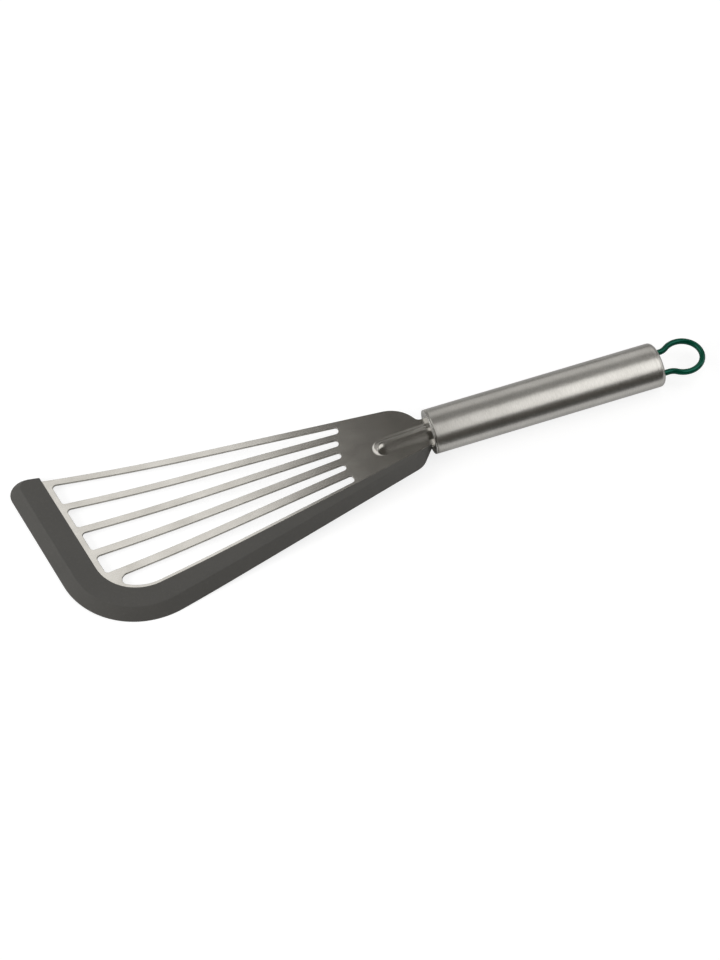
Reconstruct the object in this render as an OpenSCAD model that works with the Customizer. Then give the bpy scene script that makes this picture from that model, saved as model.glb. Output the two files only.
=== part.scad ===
// Slotted kitchen turner: a spring-steel blade with a moulded edge, on a hollow oval handle with a hanging loop
// All lengths are in millimetres

/* [Handle] */

// Half of the handle's width, across the blade
handle_half_w = 11.07; // [8:0.01:16]
// Half of the handle's height
handle_half_h = 9.03; // [6:0.01:13]
// Distance from the front of the handle to its rear end
handle_len = 110.4; // [80:0.1:150]
// Wall of the handle tube
tube_wall = 0.8; // [0.5:0.05:1.5]
// Length of the front cap outside the tube
front_cap_len = 0.8; // [0.4:0.05:4]
// Rounding of the front cap's edge
front_cap_round = 0.55; // [0.2:0.05:3]
// Depth of the front cap's collar inside the tube
collar_depth = 6; // [3:0.5:12]
// Wall of both caps' collars
collar_wall = 1.2; // [0.6:0.1:2]
// Length of the rear cap outside the tube
rear_cap_len = 3.5; // [2:0.1:8]
// Rounding of the rear cap's edge
rear_cap_round = 2.7; // [1:0.1:5]
// Metal of the rear cap's flat end
rear_cap_wall = 1.2; // [0.6:0.1:2]
// Length of the moulded core that holds the tang
core_len = 34; // [25:1:60]
// Length of the plug that holds the loop's legs
holder_len = 12; // [8:1:30]

/* [Hanging loop] */

// Radius of the loop, to the wire's middle
loop_r = 9.05; // [6:0.05:15]
// Distance from the rear end to the loop's middle
loop_reach = 11.63; // [8:0.01:20]
// Radius of the bends that open the loop
leg_bend_r = 5.95; // [3:0.05:12]
// Distance of the bends' middles behind the loop's middle, as a share of both radii together
waist_share = 0.6; // [0.3:0.05:0.8]
// Radius of the steel wire
wire_r = 1; // [0.6:0.05:2]
// Wall of the coloured coating
coat_wall = 0.35; // [0.2:0.05:1]
// Depth to which the coating reaches into the handle
coat_depth = 8; // [2:0.5:20]
// Length of the bare wire ends beyond the coating
bare_end = 3; // [1:0.5:8]

/* [Sheet] */

// Thickness of the steel sheet
sheet_t = 1; // [0.6:0.1:2]
// Radius of the upward curve of the front half
belly_r = 629; // [300:1:2000]
// Distance from the handle to the start of the curve
belly_start = 103.5; // [60:0.5:140]
// Half of the tang's width
tang_half = 8; // [5:0.1:10]
// Length of the tang inside the handle
tang_len = 36; // [20:1:80]
// Distance between the tang's two holes
tang_hole_step = 12; // [8:0.5:20]
// Radius of the tang's holes
tang_hole_r = 2.2; // [1:0.1:4]
// Rounding of the sheet's small corners
sheet_round = 2; // [0.5:0.1:4]
// Gap between the left shoulder's foot and the handle
neck_gap = 2.5; // [1:0.1:5]
// Rounding of that foot
neck_round = 3; // [0.5:0.1:6]
// Rounding of the left shoulder
shoulder_round = 16; // [4:0.5:30]
// Distance from the handle to the left shoulder
shoulder_reach = 8.1; // [4:0.1:20]
// Rounding of the hidden right shoulder
hidden_round = 3; // [1:0.1:8]

/* [Rib] */

// Distance from the handle to the middle of the rib's nose
rib_reach = 21.5; // [10:0.5:60]
// Distance of the rib from the handle's axis, to the right
rib_off = 0.25; // [0:0.05:3]
// Radius of the rib's crown
rib_r = 4.9; // [4:0.05:8]
// Height of the rib above the sheet
rib_h = 2; // [0.5:0.1:4]

/* [Bars] */

// Distance from the handle to the point where the bars' lines meet
fan_back = 71.6; // [40:0.1:200]
// Distance of that point from the handle's axis, to the left
fan_left = 5.4; // [0:0.1:20]
// Turn of the middle bar to the left, in degrees
fan_mid = 0.7; // [-10:0.05:10]
// Turn from one bar to the next, in degrees
fan_step = 3.56; // [2:0.01:6]
// Width of the leftmost bar
bar_w = 3.15; // [2:0.05:6]
// Growth in width from one bar to the next
bar_grow = 0.2; // [0:0.05:1]
// Distance from the bars' meeting point to the farthest of the slots' rear ends
slot_rear = 112.3; // [80:0.1:200]
// How much nearer to it the next slot's rear end lies, growing as the square of the number of slots
slot_bow = 0.33; // [0:0.01:0.6]
// Rounding of the slots' rear ends
slot_rear_r = 1.4; // [0.5:0.05:3]
// Rounding of the slots' front corners
slot_front_r = 1.6; // [0.5:0.1:4]
// Rounding of the last slot's front corner
last_front_r = 3; // [0.5:0.1:6]
// Steel rim between the slots and the moulded edge, in front
rim_front = 2.6; // [0.5:0.1:5]
// Steel rim between the last slot and the moulded edge, on the right
rim_side = 1.9; // [0.5:0.1:5]

/* [Moulded edge] */

// Distance from the handle to the middle of the big corner
corner_reach = 137.6; // [100:0.1:180]
// Distance of that middle from the handle's axis, to the right
corner_right = 9.8; // [0:0.1:30]
// Outer radius of the big corner
corner_r = 37.9; // [15:0.1:60]
// Width of the moulded edge in front
edge_w = 16; // [8:0.1:30]
// Width of its bevel
bevel_w = 5.9; // [2:0.1:12]
// Width of the bevel at its left end
bevel_end_w = 1.8; // [0.5:0.1:5]
// Material above and below the sheet
edge_cover = 1; // [0.5:0.1:3]
// Height of the blunt lip at the bevel's foot
lip_h = 0.5; // [0.3:0.1:2]
// Turn of the front edge, in degrees
front_turn = 12.56; // [0:0.01:30]
// Turn of the right outer line, in degrees
outer_turn = 14.16; // [5:0.01:30]
// Turn of the right bevel line, in degrees
bevel_turn = 13.57; // [5:0.01:30]
// Turn of the right inner line, in degrees
inner_turn = 9.97; // [2:0.01:30]
// How far the moulded edge stands out past the sheet's left side
left_over = 3.3; // [1:0.1:8]
// Rounding of the front left corner
left_round = 8.2; // [2:0.1:15]
// Rounding of the left end's rear corner
heel_round = 1.5; // [0.5:0.1:3]
// Gap between the moulded edge and the handle
rear_gap = 1.2; // [0.5:0.1:8]
// Distance from the handle to the moulded edge's rear corner
rear_reach = 7.8; // [4:0.1:20]
// Slope of the moulded edge's rear end, in degrees
rear_turn = 51.3; // [30:0.1:80]
// Rounding of that rear corner
rear_round = 9; // [2:0.1:20]
// Radius of the holes that anchor the moulding
anchor_r = 1.5; // [0.8:0.1:3]
// Distance between those holes
anchor_step = 19; // [8:0.5:40]
// Number of those holes along the front
front_anchors = 3; // [1:1:4]
// Number of those holes along the right side
side_anchors = 5; // [1:1:6]

/* [Hidden] */

$fn = 96;
arc_steps = 6;
corner_steps = 16;
belly_steps = 12;
line_steps = 8;
farthest_slot = 2.8;

// Half thickness of the sheet and of the moulded edge
half_t = sheet_t / 2;
cover_z = half_t + edge_cover;
lip_z = lip_h - cover_z;
coat_r = wire_r + coat_wall;
bore_half_w = handle_half_w - tube_wall;
bore_half_h = handle_half_h - tube_wall;

// The sheet is pitched so that the belly and the handle rest on one plane
belly_arm = sqrt(belly_start * belly_start + belly_r * belly_r);
pitch = acos((belly_r + cover_z - handle_half_h) / belly_arm) - atan(belly_start / belly_r);

// Height of the sheet's middle at a distance along it
function lift(x) =
    x < -belly_start ? belly_r - sqrt(belly_r * belly_r - (belly_start + x) * (belly_start + x)) : 0;

function unit(v) = v / norm(v);
function dir(turn) = [cos(turn), sin(turn)];
function mix(a, b, share) = a + (b - a) * share;
function spread(a, b, steps) = [for (k = [0 : steps]) mix(a, b, k / steps)];

// Crossing of the line through p along d with the line through q along e
function meet(p, d, q, e) = p + d * (((q[0] - p[0]) * e[1] - (q[1] - p[1]) * e[0]) / (d[0] * e[1] - d[1] * e[0]));

// Points of the arc round c from one direction to another
function arc(c, r, from, to, steps) = [for (t = spread(from, to, steps)) c + r * dir(t)];

// Signed turn between two headings, the short way round
function short_way(turn) = turn > 180 ? turn - 360 : turn < -180 ? turn + 360 : turn;

// Points that round the corner b between a and c
function corner(a, b, c, r) =
    let(u = unit(a - b), v = unit(c - b), half = acos(u * v) / 2, o = b + unit(u + v) * (r / sin(half)))
    let(p = b + u * (r / tan(half)) - o, q = b + v * (r / tan(half)) - o)
    let(from = atan2(p[1], p[0]), turn = short_way(atan2(q[1], q[0]) - from))
    arc(o, r, from, from + turn, arc_steps);

// Closed outline through the corners p, each with its own rounding
function rounded(p, r) =
    let(n = len(p))
    [for (i = [0 : n - 1]) each corner(p[(i + n - 1) % n], p[i], p[(i + 1) % n], r[i])];

// Big corner, with the directions in which its front and right lines lie
corner_c = [-corner_reach, -corner_right];
front_side = 180 + front_turn;
outer_side = 270 + outer_turn;
bevel_side = 270 + bevel_turn;
inner_side = 270 + inner_turn;
bevel_r = corner_r - bevel_w;
inner_r = corner_r - edge_w;
front_dir = dir(front_side - 90);

// Left side of the sheet and of the moulded edge
fan_c = [fan_back, fan_left];
function bar_turn(i) = 180 - fan_mid - (2 - i) * fan_step;
function bar_half(i) = (bar_w + i * bar_grow) / 2;
left_dir = dir(bar_turn(0));
left_p = fan_c + bar_half(0) * dir(bar_turn(0) - 90);
left_end_p = left_p + left_over * dir(bar_turn(0) - 90);

// Sheet's outline
shoulder_p = meet([-shoulder_reach, 0], dir(90), left_p, left_dir);
front_left_p = meet(left_p, left_dir, corner_c + bevel_r * dir(front_side), front_dir);
big_corner_p = meet(corner_c + bevel_r * dir(front_side), front_dir, corner_c + bevel_r * dir(bevel_side), dir(bevel_side + 90));
outer_rear_p = meet([-rear_reach, 0], dir(90), corner_c + corner_r * dir(outer_side), dir(outer_side + 90));
rear_dir = dir(rear_turn);
hidden_p = outer_rear_p + bevel_w / 2 * dir(rear_turn + 90);
right_shoulder_p = meet(hidden_p, rear_dir, corner_c + bevel_r * dir(bevel_side), dir(bevel_side + 90));
right_neck_p = meet(hidden_p, rear_dir, [0, -tang_half], dir(0));
sheet_corners = [
    [tang_len, -tang_half],
    [tang_len, tang_half],
    [-neck_gap, tang_half],
    shoulder_p,
    front_left_p,
    big_corner_p,
    right_shoulder_p,
    right_neck_p
];
sheet_rounds = [
    sheet_round,
    sheet_round,
    neck_round,
    shoulder_round,
    left_round - left_over,
    bevel_r,
    hidden_round,
    sheet_round / 2
];

// Slot between two bars, from its front corners to its rounded rear end
front_slot_p = corner_c + (inner_r - rim_front) * dir(front_side);
function right_of_bar(i) = fan_c + bar_half(i) * dir(bar_turn(i) + 90);
function left_of_bar(i) = fan_c + bar_half(i) * dir(bar_turn(i) - 90);
function slot_reach(i) = slot_rear - slot_bow * pow(farthest_slot - i, 2);
function slot(i) =
    let(a = right_of_bar(i), u = dir(bar_turn(i)), b = left_of_bar(i + 1), v = dir(bar_turn(i + 1)))
    let(mid = (bar_turn(i) + bar_turn(i + 1)) / 2, rear = fan_c + slot_reach(i) * dir(mid), across = dir(mid + 90))
    rounded(
        [
            meet(a, u, front_slot_p, front_dir),
            meet(b, v, front_slot_p, front_dir),
            meet(b, v, rear, across),
            meet(a, u, rear, across)
        ],
        [slot_front_r, slot_front_r, slot_rear_r, slot_rear_r]
    );

// Last slot: its front follows the big corner and its right side the moulded edge
side_slot_r = inner_r - rim_side;
last_dir = dir(bar_turn(4));
inset_p = right_of_bar(4) + last_front_r * dir(bar_turn(4) + 90) - corner_c;
inset_r = side_slot_r - last_front_r;
inset_run = sqrt(pow(inset_p * last_dir, 2) - inset_p * inset_p + inset_r * inset_r) - inset_p * last_dir;
inset_c = corner_c + inset_p + inset_run * last_dir;
inset_turn = 360 + atan2(inset_c[1] - corner_c[1], inset_c[0] - corner_c[0]);
last_start = inset_c + last_front_r * dir(bar_turn(4) - 90);
last_turn = corner_c + side_slot_r * dir(inner_side);
last_mid = (bar_turn(4) + 180 + inner_turn) / 2;
last_rear = fan_c + slot_reach(4) * dir(last_mid);
last_upper = meet(last_start, last_dir, last_rear, dir(last_mid + 90));
last_lower = meet(last_turn, dir(inner_side + 90), last_rear, dir(last_mid + 90));
last_slot = concat(
    arc(inset_c, last_front_r, bar_turn(4) - 90, inset_turn, arc_steps),
    arc(corner_c, side_slot_r, inset_turn, inner_side, corner_steps),
    corner(last_turn, last_lower, last_upper, slot_rear_r),
    corner(last_lower, last_upper, last_start, slot_rear_r)
);

// Holes in the covered margin: along the front, round the big corner and along the right side
anchor_track = (inner_r + bevel_r) / 2;
anchor_front = corner_c + anchor_track * dir(front_side);
anchor_side = corner_c + anchor_track * dir(inner_side);
anchor_dir = dir((inner_turn + bevel_turn) / 2);
anchors = concat(
    [for (k = [0 : front_anchors - 1]) anchor_front + k * anchor_step * front_dir],
    arc(corner_c, anchor_track, front_side + 30, inner_side - 30, 1),
    [for (k = [0 : side_anchors - 1]) anchor_side + k * anchor_step * anchor_dir]
);

// Moulded edge: foot, bevel and inner lines from the left end round to the rear
right_along = dir(front_side + 90);
back_line = corner_c + inner_r * dir(front_side);
heel_p = meet(back_line, front_dir, left_end_p, left_dir);
tip_p = meet(corner_c + corner_r * dir(front_side), front_dir, left_end_p, left_dir);
left_bevel_p = left_end_p + bevel_end_w * dir(bar_turn(0) + 90);
bevel_heel = meet(back_line, front_dir, left_bevel_p, left_dir);
bevel_tip = meet(corner_c + bevel_r * dir(front_side), front_dir, left_bevel_p, left_dir);
heel_outer = corner(back_line, heel_p, tip_p, heel_round);
tip_outer = corner(heel_p, tip_p, corner_c + corner_r * dir(front_side), left_round);
heel_bevel = spread(bevel_heel, bevel_heel + heel_round * left_dir, arc_steps);
tip_bevel = corner(bevel_heel, bevel_tip, corner_c + bevel_r * dir(front_side), left_round / 2);
fan_end = meet(back_line, front_dir, tip_outer[arc_steps], dir(front_side)) + left_round / 2 * right_along;
fan_start = bevel_heel + heel_round / 2 * right_along;
rear_outer = corner(corner_c + corner_r * dir(outer_side), outer_rear_p, outer_rear_p + rear_dir, rear_round);
rear_bevel = meet(corner_c + bevel_r * dir(bevel_side), dir(bevel_side + 90), rear_outer[0], dir(90));
rear_inner = meet(corner_c + inner_r * dir(inner_side), dir(inner_side + 90), rear_outer[0], dir(90));
end_p = [-rear_gap, 0];
end_outer = meet(outer_rear_p, rear_dir, end_p, dir(90));
end_inner = meet(rear_inner, dir(inner_side + 90), end_p, dir(90));
end_bevel = (end_inner + end_outer) / 2;

// Points of one line without its last one, so that the next line can follow
function open(points) = [for (k = [0 : len(points) - 2]) points[k]];
function side_lines(r, side, start, rear) = concat(
    open(spread(start, corner_c + r * dir(front_side), line_steps)),
    open(arc(corner_c, r, front_side, side, corner_steps)),
    open(spread(corner_c + r * dir(side), rear, line_steps))
);
outer_line = concat(
    heel_outer,
    open(tip_outer),
    side_lines(corner_r, outer_side, tip_outer[arc_steps], rear_outer[0]),
    rear_outer,
    [end_outer]
);
bevel_line = concat(
    heel_bevel,
    open(tip_bevel),
    side_lines(bevel_r, bevel_side, tip_bevel[arc_steps], rear_bevel),
    spread(rear_bevel, end_bevel, arc_steps + 1)
);
inner_line = concat(
    open(spread(fan_start, fan_end, 2 * arc_steps + 1)),
    side_lines(inner_r, inner_side, fan_end, rear_inner),
    spread(rear_inner, end_inner, arc_steps + 1)
);
stations = len(outer_line);
function raised(p, z) = [p[0], p[1], z + lift(p[0])];
edge_points = [
    for (k = [0 : stations - 1]) each [
        raised(inner_line[k], -cover_z),
        raised(inner_line[k], cover_z),
        raised(bevel_line[k], cover_z),
        raised(outer_line[k], lip_z),
        raised(outer_line[k], -cover_z)
    ]
];
function strip(a, b) = [[a, a + 5, b + 5], [a, b + 5, b]];
edge_faces = concat(
    [[0, 1, 2, 3, 4]],
    [for (k = [0 : stations - 2]) for (j = [0 : 4]) each strip(5 * k + j, 5 * k + (j + 1) % 5)],
    [[for (j = [4 : -1 : 0]) 5 * (stations - 1) + j]]
);

// Hanging loop: ring, two bends and two legs
loop_x = handle_len + loop_reach;
waist_x = waist_share * (loop_r + leg_bend_r);
waist_y = sqrt(1 - waist_share * waist_share) * (loop_r + leg_bend_r);
leg_spread = waist_y - leg_bend_r;
ring_turn = acos(-waist_share);
knot_share = 0.9;

// The part's origin is under the middle of its bounding box
low_x = min([for (p = edge_points) p[0] * cos(pitch) - p[2] * sin(pitch)]);
low_y = min([for (p = edge_points) p[1]]);
high_y = max([for (p = edge_points) p[1]]);
high_x = loop_x + loop_r + coat_r;
origin = [-(low_x + high_x) / 2, -(low_y + high_y) / 2, handle_half_h];

steel_color = [0.72, 0.71, 0.69];
edge_color = [0.2, 0.2, 0.2];
core_color = [0.15, 0.15, 0.16];
coat_color = [0.02, 0.36, 0.22];

// Puts the children, which lie along the sheet, into the part's frame
module pitched() {
    translate(origin) rotate([0, -pitch, 0]) children();
}

// Slab that follows the sheet's curve
module curved_slab() {
    x = concat([tang_len + sheet_t], spread(-belly_start, tip_p[0], belly_steps));
    upper = [for (k = [0 : len(x) - 1]) [x[k], half_t + lift(x[k])]];
    lower = [for (k = [len(x) - 1 : -1 : 0]) [x[k], lift(x[k]) - half_t]];
    rotate([90, 0, 0])
        linear_extrude(height = 4 * corner_r, center = true)
            polygon(concat(upper, lower));
}

module sheet_plan() {
    difference() {
        polygon(rounded(sheet_corners, sheet_rounds));
        for (i = [0 : 3])
            polygon(slot(i));
        polygon(last_slot);
        for (p = anchors)
            translate(p) circle(r = anchor_r);
    }
}

// Round form of the rib, with its nose at the front
module rib_form(r, run) {
    translate([-rib_reach, -rib_off, half_t + rib_h - rib_r]) {
        sphere(r = r);
        rotate([0, 90, 0]) cylinder(h = rib_reach + run, r = r);
    }
}

module rib_crown() {
    intersection() {
        rib_form(rib_r, tang_len);
        translate([-rib_reach - rib_r, -rib_off - rib_r, -half_t])
            cube([rib_reach + rib_r + tang_len, 2 * rib_r, rib_r]);
    }
}

module tang_holes() {
    for (k = [1 : 2])
        translate([k * tang_hole_step, -rib_off, -sheet_t])
            cylinder(h = 2 * rib_h + sheet_t, r = tang_hole_r);
}

module blade_form() {
    difference() {
        union() {
            intersection() {
                translate([0, 0, -handle_half_h]) linear_extrude(height = 3 * handle_half_h) sheet_plan();
                curved_slab();
            }
            rib_crown();
        }
        rib_form(rib_r - sheet_t, tang_len + sheet_t);
        tang_holes();
    }
}

// Plain length of the ribbed tang, used to cut its passage
module tang_form() {
    difference() {
        union() {
            translate([-tang_half, -tang_half, -half_t]) cube([tang_half + tang_len, 2 * tang_half, sheet_t]);
            rib_crown();
        }
        rib_form(rib_r - sheet_t, tang_len + sheet_t);
    }
}

// Oval solid along the handle, made from a half section in which x is the height and y runs to the rear
module oval(half_w, half_h) {
    scale([1, half_w / half_h, 1]) rotate([0, 90, 0]) children();
}

module oval_rod(from, to, inset) {
    half_w = handle_half_w - inset;
    half_h = handle_half_h - inset;
    translate([from, 0, 0]) oval(half_w, half_h) cylinder(h = to - from, r = half_h);
}

// Oval plate with a rounded outer edge; its flat face looks to the rear
module rounded_plate(thick, edge_r) {
    oval(handle_half_w, handle_half_h)
        rotate_extrude() {
            square([handle_half_h, thick - edge_r]);
            square([handle_half_h - edge_r, thick]);
            intersection() {
                translate([handle_half_h - edge_r, thick - edge_r]) circle(r = edge_r);
                square([handle_half_h, thick]);
            }
        }
}

module blade() {
    color(steel_color) pitched() blade_form();
}

module silicone_edge() {
    color(edge_color)
        pitched()
            difference() {
                polyhedron(points = edge_points, faces = edge_faces, convexity = 8);
                blade_form();
            }
}

module front_cap() {
    color(steel_color)
        translate(origin)
            difference() {
                union() {
                    translate([front_cap_len, 0, 0]) mirror([1, 0, 0]) rounded_plate(front_cap_len, front_cap_round);
                    oval_rod(front_cap_len, front_cap_len + collar_depth, tube_wall);
                }
                oval_rod(front_cap_len, front_cap_len + collar_depth + collar_wall, tube_wall + collar_wall);
                rotate([0, -pitch, 0]) tang_form();
            }
}

module handle_tube() {
    color(steel_color)
        translate(origin)
            difference() {
                oval_rod(front_cap_len, handle_len - rear_cap_len, 0);
                oval_rod(0, handle_len, tube_wall);
            }
}

module handle_core() {
    start = front_cap_len + collar_depth;
    color(core_color)
        translate(origin)
            difference() {
                oval_rod(start, start + core_len, tube_wall);
                rotate([0, -pitch, 0])
                    difference() {
                        tang_form();
                        tang_holes();
                    }
            }
}

module legs(from, to, r) {
    for (side = [-1, 1])
        translate([from, side * leg_spread, 0]) rotate([0, 90, 0]) cylinder(h = to - from, r = r);
}

module rear_cap() {
    seam = handle_len - rear_cap_len;
    color(steel_color)
        translate(origin)
            difference() {
                union() {
                    translate([seam, 0, 0]) rounded_plate(rear_cap_len, rear_cap_round);
                    oval_rod(seam - collar_depth, seam, tube_wall);
                }
                oval_rod(seam - collar_depth - collar_wall, handle_len - rear_cap_wall, tube_wall + collar_wall);
                legs(seam, handle_len + rear_cap_wall, coat_r);
            }
}

module loop_holder() {
    seat = handle_len - rear_cap_wall;
    color(core_color)
        translate(origin)
            difference() {
                oval_rod(seat - holder_len, seat, tube_wall + collar_wall);
                legs(handle_len - coat_depth, handle_len, coat_r);
                legs(handle_len - coat_depth - bare_end, handle_len, wire_r);
            }
}

module ring(big_r, r) {
    rotate_extrude() translate([big_r, 0]) circle(r = r);
}

// Block on the left of the line that leaves the loop's middle in a direction
module left_of(turn) {
    size = 4 * loop_r;
    rotate([0, 0, turn]) translate([-size, 0, -size]) cube([2 * size, size, 2 * size]);
}

// Block that starts in the middle of a bend and runs towards the ring and the handle's axis
module bend_block(side) {
    size = 2 * leg_bend_r;
    translate([-waist_x, side * waist_y - (side > 0 ? size : 0), -size]) cube([size, size, 2 * size]);
}

// Balls inside the rod, where its arcs and legs meet
module knots(r) {
    for (side = [-1, 1]) {
        translate(loop_r * dir(side * ring_turn)) sphere(r = knot_share * r);
        translate([-waist_x, side * leg_spread]) sphere(r = knot_share * r);
    }
}

// The loop as a round rod, with legs that start at a distance along the handle
module loop_form(from, r) {
    translate([loop_x, 0, 0]) {
        difference() {
            ring(loop_r, r);
            intersection() {
                left_of(ring_turn);
                left_of(180 - ring_turn);
            }
        }
        intersection() {
            translate([-waist_x, waist_y, 0]) ring(leg_bend_r, r);
            bend_block(1);
            left_of(ring_turn);
        }
        intersection() {
            translate([-waist_x, -waist_y, 0]) ring(leg_bend_r, r);
            bend_block(-1);
            left_of(180 - ring_turn);
        }
        knots(r);
    }
    legs(from, loop_x - waist_x, r);
}

module loop_wire() {
    color(steel_color) translate(origin) loop_form(handle_len - coat_depth - bare_end, wire_r);
}

module loop_sleeve() {
    color(coat_color)
        translate(origin)
            difference() {
                loop_form(handle_len - coat_depth, coat_r);
                loop_form(handle_len - coat_depth - bare_end, wire_r);
            }
}

blade();
silicone_edge();
front_cap();
handle_tube();
handle_core();
rear_cap();
loop_holder();
loop_wire();
loop_sleeve();
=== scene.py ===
import math

import bmesh
import bpy
import numpy as np
from mathutils import Matrix, Vector
from mathutils.geometry import delaunay_2d_cdt


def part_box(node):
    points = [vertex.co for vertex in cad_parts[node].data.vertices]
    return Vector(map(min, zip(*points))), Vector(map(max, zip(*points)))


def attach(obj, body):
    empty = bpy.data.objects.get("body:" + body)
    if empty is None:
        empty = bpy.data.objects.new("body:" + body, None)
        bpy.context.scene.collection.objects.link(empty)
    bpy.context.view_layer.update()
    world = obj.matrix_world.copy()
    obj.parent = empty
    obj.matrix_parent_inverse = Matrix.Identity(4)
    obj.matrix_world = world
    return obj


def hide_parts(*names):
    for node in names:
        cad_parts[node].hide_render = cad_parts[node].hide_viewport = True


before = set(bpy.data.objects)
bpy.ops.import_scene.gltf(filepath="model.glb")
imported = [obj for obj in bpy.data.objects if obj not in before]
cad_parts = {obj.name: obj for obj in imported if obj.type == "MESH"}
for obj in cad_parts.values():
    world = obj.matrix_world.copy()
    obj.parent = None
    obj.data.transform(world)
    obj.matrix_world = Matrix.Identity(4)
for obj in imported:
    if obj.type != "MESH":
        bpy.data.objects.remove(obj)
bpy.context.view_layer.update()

# ---------------------------------------------------------------- sizes, in millimetres and degrees

# Handle
HALF_W, HALF_H = 11.07, 9.03
HANDLE_LEN = 110.4
TUBE_WALL, COLLAR_WALL, COLLAR_DEPTH = 0.8, 1.2, 6.0
FRONT_CAP_LEN, FRONT_CAP_ROUND = 0.8, 0.55
REAR_CAP_LEN, REAR_CAP_ROUND = 3.5, 2.7
TUBE_EDGE_ROUND, SEAM_GAP, REAR_SEAM_GAP = 0.6, 0.05, 0.01
COLLAR_GAP, COLLAR_ROUND, CAP_EDGE_ROUND, SEAM_ROUND = 0.03, 0.2, 0.12, 0.04
HANDLE_SIDES, PROFILE_STEPS, TUBE_RINGS, TUBE_RING_INSET = 144, 8, 24, 4

# Hanging loop
LOOP_R, LOOP_REACH, LEG_BEND_R, WAIST = 9.05, 11.63, 5.95, 0.6
COAT_R, COAT_DEPTH, COAT_SIDES = 1.35, 8.0, 32
LEG_STEPS, RING_STEPS = 12, 72

# Sheet
SHEET_T, SHEET_EDGE = 1.0, 0.15
BELLY_R, BELLY_START = 629.0, 103.5
PITCH = 3.51546
TANG_HALF, TANG_LEN = 8.0, 36.0
TANG_HOLE_R, TANG_HOLE_STEP = 2.2, 12.0
SHEET_ROUND, NECK_GAP, NECK_ROUND = 2.0, 2.5, 3.0
SHOULDER_ROUND, SHOULDER_REACH, HIDDEN_ROUND = 16.0, 8.1, 3.0

# Rib pressed into the sheet
RIB_REACH, RIB_OFF, RIB_R, RIB_H, RIB_FOOT = 21.3, 0.1, 4.9, 2.0, 2.0

# Bars and slots
FAN = np.array([71.6, 5.4])
FAN_MID, FAN_STEP = 0.7, 3.56
BAR_W, BAR_GROW = 3.15, 0.2
SLOT_REAR, SLOT_BOW, FARTHEST_SLOT = 112.3, 0.33, 2.8
SLOT_REAR_R, SLOT_FRONT_R, LAST_FRONT_R = 1.4, 1.6, 3.0
RIM_FRONT, RIM_SIDE = 2.6, 1.9

# Moulded edge
BIG = np.array([-137.6, -9.8])
CORNER_R, EDGE_W, BEVEL_W, BEVEL_END_W = 37.9, 16.0, 5.9, 1.8
COVER_Z, LIP_Z, EDGE_ROUND = 1.5, -1.0, 0.2
FRONT_TURN, OUTER_TURN, BEVEL_TURN, INNER_TURN = 12.56, 14.16, 13.57, 9.97
LEFT_OVER, LEFT_ROUND, HEEL_ROUND = 3.3, 8.2, 1.5
REAR_GAP, REAR_REACH, REAR_TURN, REAR_ROUND = 1.2, 7.8, 51.3, 9.0

# Where the front of the handle lies in the part's frame
SEAM = np.array([26.9831, 1.58364, 9.03])

# How finely outlines and the sheet are divided
SMALL_STEPS, SHEET_STEPS, BIG_STEPS, LINE_STEPS = 10, 12, 40, 20
RIM_STEP, RIM_CLEARANCE = 2.0, 0.45
FILL_FRONT, FILL_SIDE, FILL_X, FILL_Y = -176, 48, 2.2, 1.9
RIB_LINE_STEP, SLOPE_STEP = 0.9, 0.9


# ---------------------------------------------------------------- drawing in the plane of the sheet


def heading(turn):
    a = math.radians(turn)
    return np.array([math.cos(a), math.sin(a)])


def unit(v):
    return v / np.linalg.norm(v)


def meet(p, d, q, e):
    """Crossing of the line through p along d with the line through q along e."""
    return p + d * (((q[0] - p[0]) * e[1] - (q[1] - p[1]) * e[0]) / (d[0] * e[1] - d[1] * e[0]))


def spread(a, b, steps):
    return [a + (b - a) * k / steps for k in range(steps + 1)]


def arc(centre, radius, start, end, steps):
    return [centre + radius * heading(t) for t in np.linspace(start, end, steps + 1)]


def corner(before, at, after, radius, steps=SMALL_STEPS):
    """Arc that rounds the corner at a point between its two neighbours."""
    u, v = unit(before - at), unit(after - at)
    half = math.acos(float(u @ v)) / 2
    centre = at + unit(u + v) * (radius / math.sin(half))
    p = at + u * (radius / math.tan(half)) - centre
    q = at + v * (radius / math.tan(half)) - centre
    start = math.degrees(math.atan2(p[1], p[0]))
    turn = (math.degrees(math.atan2(q[1], q[0])) - start + 180) % 360 - 180
    return arc(centre, radius, start, start + turn, steps)


def rounded(points, radii, steps=SMALL_STEPS):
    """Closed outline through the corners, each with its own rounding."""
    line = []
    for k, (p, r) in enumerate(zip(points, radii)):
        before, after = points[k - 1], points[(k + 1) % len(points)]
        line += corner(before, p, after, r, steps) if r else [p]
    return line


def bar_turn(i):
    return 180 - FAN_MID - (2 - i) * FAN_STEP


def bar_side(i, side):
    return FAN + (BAR_W + i * BAR_GROW) / 2 * heading(bar_turn(i) + side * 90)


front_side, outer_side = 180 + FRONT_TURN, 270 + OUTER_TURN
bevel_side, inner_side = 270 + BEVEL_TURN, 270 + INNER_TURN
bevel_r, inner_r = CORNER_R - BEVEL_W, CORNER_R - EDGE_W
front_dir, left_dir, rear_dir = heading(front_side - 90), heading(bar_turn(0)), heading(REAR_TURN)
left_p = bar_side(0, -1)
left_end_p = left_p + LEFT_OVER * heading(bar_turn(0) - 90)
outer_p, outer_d = BIG + CORNER_R * heading(outer_side), heading(outer_side + 90)
rear_p = meet(np.array([-REAR_REACH, 0.0]), heading(90), outer_p, outer_d)


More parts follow.
